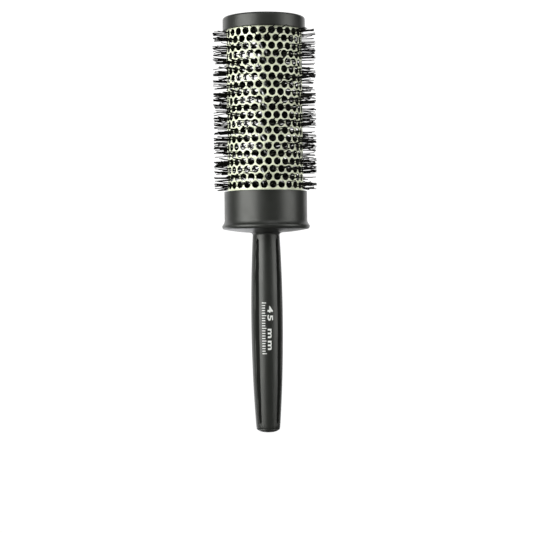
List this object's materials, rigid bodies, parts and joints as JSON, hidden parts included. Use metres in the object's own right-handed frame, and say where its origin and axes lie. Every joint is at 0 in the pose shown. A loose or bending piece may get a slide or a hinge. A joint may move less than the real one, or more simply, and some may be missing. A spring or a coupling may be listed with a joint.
{
  "type": "round barrel brush",
  "caption": "Round vented hairbrush: nylon tufts on a twisted wire core come through a ceramic-coated barrel, with an end cap, collar and slim fluted handle.",
  "frame": {"origin": "on the brush's axis at the widest place of the grip, where a hand holds it", "axes": "+Z along the brush's axis from the grip towards the barrel and its end cap; +Y is away from a viewer who looks at the front, +X to the viewer's right"},
  "size_m": [0.0618, 0.0618, 0.2473],
  "materials": {
    "handle_plastic": "satin, softly reflecting",
    "black_plastic": "satin, finely grained",
    "ceramic_coated_aluminium": "sprayed ceramic coat, pale cream, satin",
    "steel_wire": "galvanised, drawn",
    "black_nylon": "smooth filament"
  },
  "bodies": {
    "root": {"handle": "handle_plastic", "handle_end_plug": "handle_plastic", "collar": "black_plastic", "barrel_tube": "ceramic_coated_aluminium", "end_cap": "black_plastic", "core_wire_a": "steel_wire", "core_wire_b": "steel_wire", "bristle_row_01": "black_nylon", "bristle_row_02": "black_nylon", "bristle_row_03": "black_nylon", "bristle_row_04": "black_nylon", "bristle_row_05": "black_nylon", "bristle_row_06": "black_nylon", "bristle_row_07": "black_nylon", "bristle_row_08": "black_nylon", "bristle_row_09": "black_nylon", "bristle_row_10": "black_nylon", "bristle_row_11": "black_nylon", "bristle_row_12": "black_nylon", "bristle_row_13": "black_nylon", "bristle_row_14": "black_nylon", "bristle_row_15": "black_nylon", "bristle_row_16": "black_nylon", "bristle_row_17": "black_nylon", "bristle_row_18": "black_nylon", "bristle_row_19": "black_nylon", "bristle_row_20": "black_nylon", "bristle_row_21": "black_nylon"}
  },
  "joints": []
}
